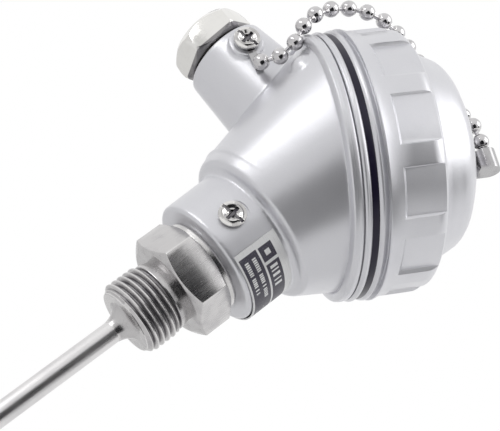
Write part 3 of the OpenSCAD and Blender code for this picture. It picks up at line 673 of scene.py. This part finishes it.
mouth = threadShell({
    "crest": flange["mouthR"], "root": flange["mouthR"] - 1.3, "pitch": flange["pitch"], "from": -1.0,
    "to": flange["mouthTop"], "start": flange["mouthR"] - 1.2, "points": 14}, 128, capAxis)
mouth = combined(mouth, [rod(casting["chamberR"], -4, 14, capAxis, 128)], "DIFFERENCE")
addPiece(mouth, "mouthThread", bodyPaint, "head", angle=40)

# process fitting

fitting = {
    "crest": 10.4775, "root": 9.32, "pitch": 1.814, "front": -14.0, "threadTop": -2.8, "undercut": 9.2,
    "flats": 27.0, "turn": 48, "hexTop": 11.0, "faceShare": 0.475, "collarR": 12.6, "collarTop": 12.0,
    "spigotR": 9.0, "spigotTop": 29.0, "bossEnd": -18.2,
}


def makeFitting(f):
    body = solidOf([
        (0, f["bossEnd"]), (3.08, f["bossEnd"]), (3.16, -17.7), (3.34, -17.0), (3.62, -16.3), (4.02, -15.6),
        (4.5, -14.95), (5.1, -14.4), (5.7, -14.08), (6.2, f["front"]), (9.0, f["front"] + 0.02),
        (9.0, f["threadTop"] - 0.6), (f["undercut"], f["threadTop"], 0.3), (f["undercut"], 0.4),
        (f["undercut"], 3), (0, 3)], steps=96)
    thread = threadShell({
        "crest": f["crest"], "root": f["root"], "pitch": f["pitch"], "from": f["front"], "to": f["threadTop"],
        "start": f["root"] - 0.55})
    face, corner = f["flats"] * f["faceShare"], f["flats"] / 2 / math.cos(math.radians(30))
    drop = (corner - face) * math.tan(math.radians(30))
    lens = solidOf([(0, 0), (face, 0), (corner + 0.02, drop), (corner + 0.02, f["hexTop"] - drop),
                    (face, f["hexTop"]), (0, f["hexTop"])], steps=144)
    nut = combined(hexBar(f["flats"], -1, f["hexTop"] + 1, turn=f["turn"]), [lens], "INTERSECT")
    softenEdges(nut, 0.16)
    collar = solidOf([(0, f["hexTop"] - 1), (f["collarR"], f["hexTop"] - 1),
                      (f["collarR"], f["collarTop"], 0.25), (f["spigotR"], f["collarTop"]),
                      (f["spigotR"], f["spigotTop"], 0.5), (0, f["spigotTop"])], steps=96)
    return joined(body, thread, nut, collar)


addPiece(makeFitting(fitting), "processFitting", fittingSteel, "head", ["process_fitting"],
         30)

sheath = {"r": 3.0, "tip": -164.0, "top": 24.0, "rings": 24}
tube = solidOf([(0, sheath["tip"]), (sheath["r"], sheath["tip"], 1.1), (sheath["r"], sheath["top"]),
                (0, sheath["top"])], steps=64)
for level in range(1, sheath["rings"]):
    height = (sheath["tip"] + (sheath["top"] - sheath["tip"]) * level / sheath["rings"]) * mm
    bmesh.ops.bisect_plane(tube, geom=tube.verts[:] + tube.edges[:] + tube.faces[:], plane_co=(0, 0, height),
                           plane_no=(0, 0, 1))
addPiece(tube, "sheathTube", sheathSteel, "head", ["sheath_tube"])

# screw cap

cap = {
    "r": 37.6, "seam": 1.05, "skirt": 20.0, "height": 36.8, "dome": 31.4, "mouth": 32.9, "roof": 2.6,
    "pockets": 12, "pocketDepth": 1.0, "pocketAngle": 20.0, "pocketPhase": 13.0, "pocketFrom": 6.6,
    "wall": 0.85, "sideWall": 0.35, "edge": 0.16, "holeR": 1.95, "steps": 288, "pocketSteps": 14,
}


def pocketCutters(c):
    # one block per pocket: its floor follows the skirt, its wall slopes, and it is open at the shoulder
    bm = bmesh.new()
    floor, out = c["r"] - c["pocketDepth"], c["r"] + 1.0
    slope = c["wall"] / c["pocketDepth"]
    outline = [(floor, c["pocketFrom"] + c["wall"]), (out, c["pocketFrom"] - slope), (out, c["skirt"] + 1),
               (floor, c["skirt"] + 1)]
    for index in range(c["pockets"]):
        verts = [bm.verts.new((radius * mm, 0, height * mm)) for radius, height in outline]
        edges = [bm.edges.new(pair) for pair in zip(verts, verts[1:] + verts[:1])]
        turn = c["pocketPhase"] + index * 360 / c["pockets"] - c["pocketAngle"] / 2
        bmesh.ops.rotate(bm, verts=verts, cent=(0, 0, 0), matrix=Matrix.Rotation(math.radians(turn), 3, "Z"))
        spun = bmesh.ops.spin(bm, geom=verts + edges, cent=(0, 0, 0), axis=(0, 0, 1), steps=c["pocketSteps"],
                              angle=math.radians(c["pocketAngle"]), use_duplicate=False)
        last = [item for item in spun["geom_last"] if isinstance(item, bmesh.types.BMVert)]
        for ends, side in ((verts, -1), (last, 1)):
            outer = [vert for vert in ends if math.hypot(vert.co.x, vert.co.y) > c["r"] * mm]
            lean = Matrix.Rotation(side * c["sideWall"] * 2 / c["r"], 3, "Z")
            bmesh.ops.rotate(bm, verts=outer, cent=(0, 0, 0), matrix=lean)
    bmesh.ops.holes_fill(bm, edges=[edge for edge in bm.edges if edge.is_boundary], sides=0)
    bmesh.ops.recalc_face_normals(bm, faces=bm.faces)
    return bm


def makeCap(c):
    rise = c["height"] - c["skirt"]
    corner = [(c["r"] - 3.0 + 3.0 * math.cos(math.radians(turn)),
               c["skirt"] - 4.8 + 4.0 * math.sin(math.radians(turn))) for turn in range(8, 84, 8)]
    dome = [(c["dome"] * across, c["skirt"] + rise * up) for across, up in (
        (0.985, 0.06), (0.965, 0.15), (0.93, 0.27), (0.90, 0.385), (0.87, 0.50), (0.842, 0.565),
        (0.80, 0.63), (0.69, 0.735), (0.60, 0.79), (0.52, 0.835), (0.41, 0.885), (0.30, 0.93),
        (0.21, 0.962), (0.12, 0.985))]
    outline = [(c["mouth"], 0.0), (c["r"] - 1.05, 0.0, 0.25), (c["r"] - 0.1, 0.85, 0.35),
               (c["r"] - 0.1, 2.6, 0.2), (c["r"], 2.9, 0.2), (c["r"], 5.0), (c["r"], 10.0),
               (c["r"], c["skirt"] - 4.8)]
    outline += corner + [(c["dome"] + 1.4, c["skirt"] - 0.55), (c["dome"] + 0.55, c["skirt"] - 0.28),
                         (c["dome"] + 0.05, c["skirt"] + 0.35)]
    outline += dome + [(c["holeR"] + 0.4, c["height"] - 0.05), (c["holeR"], c["height"] - 0.3)]
    inside = [(c["holeR"], c["height"] - c["roof"]), (8, c["height"] - c["roof"] - 0.8),
              (15, c["height"] - 5.5), (c["dome"] - 7, c["skirt"] + 6), (c["dome"] - c["roof"], c["skirt"]),
              (c["dome"] - c["roof"], 9.6), (c["mouth"], 9.3), (c["mouth"], 5.0), (c["mouth"], 1.0)]
    bm = solidOf(outline + inside, steps=c["steps"], closed=True, parts=3)
    bm = combined(bm, [pocketCutters(c)], "DIFFERENCE")
    softenEdges(bm, c["edge"], 24, 2)
    bmesh.ops.transform(bm, matrix=along(capAxis, c["seam"]), verts=bm.verts)
    return bm


addPiece(makeCap(cap), "capShell", capPaint, "cap", ["cap"], 30)

gasket = {"inner": 32.65, "outer": 37.05, "low": -1.5, "high": 1.0}
ring = solidOf([(gasket["inner"], gasket["low"]), (gasket["outer"], gasket["low"], 0.5),
                (gasket["outer"], gasket["high"], 0.5), (gasket["inner"], gasket["high"])],
               steps=192, place=capAxis, closed=True, parts=7)
addPiece(ring, "sealingRing", ringRubber, "head", ["cap_gasket"], 50)

# cable gland

gland = {
    "flats": 22.0, "turn": 15, "hexFrom": 49.6, "hexTo": 57.6, "faceShare": 0.47, "hole": 6.2, "mouth": 1.5,
    "stemR": 9.7, "stemFrom": 35.65, "neckR": 9.3,
}


def makeGland(g):
    face, corner = g["flats"] * g["faceShare"], g["flats"] / 2 / math.cos(math.radians(30))
    drop = (corner - face) * math.tan(math.radians(32))
    lens = solidOf([
        (g["hole"], g["hexFrom"]), (face, g["hexFrom"], 0.3), (corner + 0.02, g["hexFrom"] + drop, 0.8),
        (corner + 0.02, g["hexTo"] - drop * 1.25, 1.4), (face - 0.3, g["hexTo"], 0.9),
        (g["hole"] + g["mouth"], g["hexTo"], 0.4), (g["hole"], g["hexTo"] - g["mouth"], 0.5)],
        steps=144, closed=True, parts=4)
    nut = combined(hexBar(g["flats"], g["hexFrom"] - 1, g["hexTo"] + 1, turn=g["turn"]), [lens], "INTERSECT")
    softenEdges(nut, 0.28, 28, 3)
    stemTop = g["hexFrom"] + 0.4
    stem = solidOf([(g["hole"], g["stemFrom"]), (g["stemR"], g["stemFrom"], 0.5), (g["stemR"], 47.6, 0.3),
                    (g["neckR"], 48.0, 0.2), (g["neckR"], stemTop), (g["hole"], stemTop)],
                   steps=96, closed=True)
    bm = joined(nut, stem)
    bmesh.ops.transform(bm, matrix=entryAxis, verts=bm.verts)
    return bm


addPiece(makeGland(gland), "glandScrew", glandNickel, "gland_screw", ["gland_screw"], 30)

# screws with a slot and a cross

screw = {"headR": 3.4, "headH": 2.3, "shankR": 1.9, "slotW": 0.9, "slotD": 1.3, "crossW": 0.95, "crossL": 4.4}


def makeScrew(s, shank, place):
    bm = solidOf([(0, -shank), (s["shankR"], -shank, 0.3), (s["shankR"], 0), (s["headR"] - 0.15, 0),
                  (s["headR"], 0.15), (s["headR"], 0.95, 0.6), (s["headR"] * 0.86, 1.75, 1.2),
                  (s["headR"] * 0.5, 2.2, 2.0), (0, s["headH"])], steps=72)
    floor = s["headH"] - s["slotD"]
    slot = block((2 * s["headR"] + 1, s["slotW"], 2), Matrix.Translation((0, 0, (floor + 1) * mm)))
    cross = block((s["crossW"], s["crossL"], 3), Matrix.Translation((0, 0, (floor + 1.1) * mm)))
    inner = rod(1.0, s["headH"] - 1.7, s["headH"] + 1, steps=24)
    bm = combined(bm, [slot, cross, inner], "DIFFERENCE")
    softenEdges(bm, 0.09, 30, 2)
    bmesh.ops.transform(bm, matrix=place, verts=bm.verts)
    return bm


screws = {
    "neckScrew": (9.0, facingFront(0, -18.2, casting["setZ"], 8), "head", "neck_set_screw"),
    "entryScrew": (4.4, facingFront(casting["padX"], -15.4, casting["padZ"], 10), "head",
                   "entry_chain_screw"),
    "capScrew": (6.0, along(capAxis, 38.55), "cap", "cap_chain_screw"),
}
for name, (shank, place, body, node) in screws.items():
    finish = turnedMetal(name + "Nickel", screwLook, place)
    addPiece(makeScrew(screw, shank, place), name, finish, body, [node], 30)

# bead chain

chain = {"beadR": 2.35, "holeR": 0.85, "linkR": 0.62, "linkEnd": 0.78, "from": -20.0, "to": 36.0}


def solidCentres(node):  # centre of each separate solid of a CAD node
    bm = bmesh.new()
    bm.from_mesh(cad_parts[node].data)
    bmesh.ops.remove_doubles(bm, verts=bm.verts, dist=1e-6)
    left, centres = set(bm.verts), []
    while left:
        group, edge = set(), [left.pop()]
        while edge:
            vert = edge.pop()
            group.add(vert)
            near = {other.other_vert(vert) for other in vert.link_edges} & left
            left -= near
            edge += near
        low = Vector([min(vert.co[axis] for vert in group) for axis in range(3)])
        high = Vector([max(vert.co[axis] for vert in group) for axis in range(3)])
        centres.append((low + high) / 2)
    bm.free()
    return centres


def inOrder(points, start):  # from the point nearest to start, each time on to the nearest one left
    left, route = list(points), []
    while left:
        here = route[-1] if route else start
        nearest = min(left, key=lambda point: (point - here).length)
        left.remove(nearest)
        route.append(nearest)
    return route


beadRoute = inOrder(solidCentres("chain_beads"), Vector((casting["padX"], -17, casting["padZ"])) * mm)
beads, links = bmesh.new(), bmesh.new()
for index, centre in enumerate(beadRoute):
    ahead = beadRoute[min(index + 1, len(beadRoute) - 1)] - beadRoute[max(index - 1, 0)]
    stand = Matrix.Translation(centre) @ ahead.to_track_quat("Z", "Y").to_matrix().to_4x4()
    lip = math.degrees(math.asin(chain["holeR"] / chain["beadR"]))
    arc = [lip + (180 - 2 * lip) * step / 14 for step in range(15)]
    outline = [(chain["beadR"] * math.sin(math.radians(turn)), -chain["beadR"] * math.cos(math.radians(turn)))
               for turn in arc]
    hole = [(chain["holeR"] * 0.8, -1.75), (0, -1.6)]
    turned(beads, hole[::-1] + outline + [(across, -height) for across, height in hole], 32, stand)
for first, second in zip(beadRoute, beadRoute[1:]):
    step = second - first
    stand = Matrix.Translation((first + second) / 2) @ step.to_track_quat("Z", "Y").to_matrix().to_4x4()
    half = step.length / mm / 2 - 1.5
    turned(links, [(0, -half), (chain["linkEnd"], -half, 0.2), (chain["linkR"], -half * 0.45),
                   (chain["linkR"], half * 0.45), (chain["linkEnd"], half, 0.2), (0, half)], 16, stand)
start, end = (along(capAxis, chain[key]).to_translation() for key in ("from", "to"))
for bm, name, node in ((beads, "chainBeads", "chain_beads"), (links, "chainLinks", "chain_links")):
    thing = addPiece(bm, name, chainNickel, None, [node], 40)
    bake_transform(thing, "head", "chain_swivel", start=start, end=end)
    if name == "chainBeads":  # a bead keeps its shape, so all of it follows as its centre does
        share = thing.data.attributes["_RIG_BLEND"].data
        span = len(thing.data.vertices) // len(beadRoute)
        for index in range(len(beadRoute)):
            mean = sum(share[index * span + step].value for step in range(span)) / span
            for step in range(span):
                share[index * span + step].value = mean

# label round the neck

label = {"r": 18.85, "thick": 0.35, "from": -62.0, "to": 78.0, "low": 13.72, "high": 27.1}


def makeLabel(k):
    bm = bmesh.new()
    inner = k["r"] - k["thick"]
    outline = [(inner, k["low"]), (k["r"], k["low"]), (k["r"], k["high"]), (inner, k["high"])]
    verts = [bm.verts.new((radius * mm, 0, height * mm)) for radius, height in outline]
    edges = [bm.edges.new(pair) for pair in zip(verts, verts[1:] + verts[:1])]
    bmesh.ops.rotate(bm, verts=verts, cent=(0, 0, 0), matrix=Matrix.Rotation(math.radians(k["from"]), 3, "Z"))
    bmesh.ops.spin(bm, geom=verts + edges, cent=(0, 0, 0), axis=(0, 0, 1), steps=140,
                   angle=math.radians(k["to"] - k["from"]), use_duplicate=False)
    bmesh.ops.holes_fill(bm, edges=[edge for edge in bm.edges if edge.is_boundary], sides=0)
    bmesh.ops.recalc_face_normals(bm, faces=bm.faces)
    spot = bm.loops.layers.uv.new("labelMap")
    for face in bm.faces:
        for loop in face.loops:
            turn = math.degrees(math.atan2(loop.vert.co.y, loop.vert.co.x))
            across = (turn - k["from"]) / (k["to"] - k["from"])
            loop[spot].uv = (across, (loop.vert.co.z / mm - k["low"]) / (k["high"] - k["low"]))
    return bm


addPiece(makeLabel(label), "ratingLabel", labelShader(), "head", ["rating_label"], 40)

# finishes of the nodes that keep their CAD shape

keptNodes = {
    "insulation_core": oxidePowder, "end_seal": sealResin, "wire_sleeves": sleeveGlass,
    "thermoelement_positive": thermoWire, "thermoelement_negative": thermoWire, "hot_junction": thermoWire,
    "terminal_block": blockCeramic, "terminal_positive": terminalBrass, "terminal_negative": terminalBrass,
    "terminal_screws": screwNickel, "block_screws": screwNickel, "gland_seal": sealRubber,
    "gland_washer": washerSteel, "chain_eyelet": clipNickel, "chain_clip": clipNickel,
}
for node, material in keptNodes.items():
    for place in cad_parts[node].material_slots:
        place.material = material
    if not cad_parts[node].material_slots:
        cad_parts[node].data.materials.append(material)
print("kept nodes finished:", len(keptNodes))


# studio

def makeStudio(s):
    floorMesh = bmesh.new()
    bmesh.ops.create_grid(floorMesh, x_segments=1, y_segments=1, size=3.0,
                          matrix=Matrix.Translation((0, 0, s["floorZ"] * mm)))
    floor = asObject(floorMesh, "studioFloor")
    material, flow = newShader("floorPaper")
    place = placeOn(flow)
    paper = noiseOf(place, 1.2, 3.0)
    shade = mixed(noiseOf(place, 260.0, 2.0) * 0.5, (0.90, 0.90, 0.90), (0.87, 0.87, 0.875))
    glossy = flow.node("ShaderNodeLightPath", output="Is Glossy Ray")
    glow = mixed(glossy, (0, 0, 0), [s["floorGlow"]] * 3)  # metal sees the floor nearly as white as the world
    surface(flow, color=shade, rough=0.75 + (paper - 0.5) * 0.1, normal=bumpOf(paper, 0.02, 0.3), glow=glow,
            glowing=1.0)
    floor.data.materials.append(material)

    dark, flow = newShader("flagCloth")
    surface(flow, color=(0.012, 0.012, 0.016), rough=0.9)
    for name, place, width, height in s["flags"]:
        card = bmesh.new()
        bmesh.ops.create_grid(card, x_segments=1, y_segments=1, size=0.5)
        bmesh.ops.scale(card, vec=(width * mm, height * mm, 1), verts=card.verts)
        bmesh.ops.transform(card, matrix=inStudio(place), verts=card.verts)
        flag = asObject(card, name)
        flag.data.materials.append(dark)
        flag.visible_camera = flag.visible_diffuse = flag.visible_shadow = flag.visible_transmission = False

    for name, place, width, watts in s["lamps"]:
        data = bpy.data.lights.new(name, "AREA")
        data.energy, data.size = watts, width * mm
        lamp = addToScene(bpy.data.objects.new(name, data))
        lamp.matrix_world = inStudio(place) @ Matrix.Rotation(math.pi, 4, "X")

    world = bpy.data.worlds.new("studioWorld")
    bpy.context.scene.world = world
    world.use_nodes = True
    world.node_tree.nodes.clear()
    flow = Flow(world.node_tree)
    rays = [flow.node("ShaderNodeLightPath", output=kind)
            for kind in ("Is Camera Ray", "Is Glossy Ray", "Is Transmission Ray")]
    strength = s["ambient"] + highest(rays) * (1.0 - s["ambient"])
    sky = flow.node("ShaderNodeBackground", None, {"Color": (1, 1, 1, 1), "Strength": strength})
    flow.node("ShaderNodeOutputWorld", None, {"Surface": sky})
    print("studio set")


makeStudio(studio)
